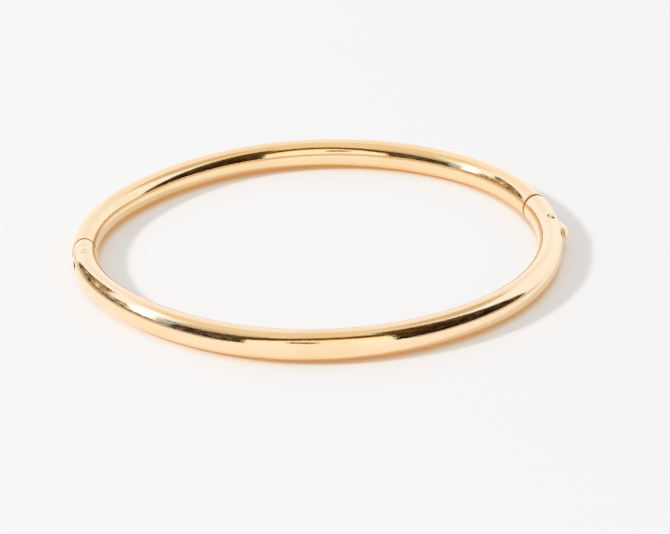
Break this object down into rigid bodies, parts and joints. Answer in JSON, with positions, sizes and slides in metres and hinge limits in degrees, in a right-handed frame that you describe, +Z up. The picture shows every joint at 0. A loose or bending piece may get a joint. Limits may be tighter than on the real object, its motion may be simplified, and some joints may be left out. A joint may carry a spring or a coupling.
{
  "type": "hinged bangle",
  "caption": "Oval hinged bangle of hollow polished gold tube that opens on a side hinge and closes with a tongue clasp released by a small thumb lever.",
  "frame": {"origin": "centre of the oval on the surface that the bangle lies on", "axes": "+Z up out of the lying bangle, along the wrist; +X along the oval's long way from the hinge to the clasp; +Y from the front half to the back half"},
  "size_m": [0.0677, 0.057, 0.0044],
  "materials": {
    "gold": "mirror polished yellow gold",
    "gold_lever": "polished yellow gold",
    "gold_pin": "polished yellow gold",
    "gold_tongue": "satin hard gold"
  },
  "bodies": {
    "front": {"front_half": "gold", "hinge_pin": "gold_pin", "lever_pin": "gold_pin"},
    "back": {"back_half": "gold", "clasp_tongue": "gold_tongue"},
    "lever": {"thumb_lever": "gold_lever"}
  },
  "joints": [
    {"name": "bangle_hinge", "type": "hinge", "parent": "front", "child": "back", "pos_m": [-0.03119, -0.00462, 0], "axis": [0, 0, 1], "range_deg": [0, 60]},
    {"name": "lever_pivot", "type": "hinge", "parent": "front", "child": "lever", "pos_m": [0.0321, 0.00153, 0], "axis": [0, 0, -1], "range_deg": [0, 5], "stiffness_Nm_per_rad": 0.01}
  ]
}
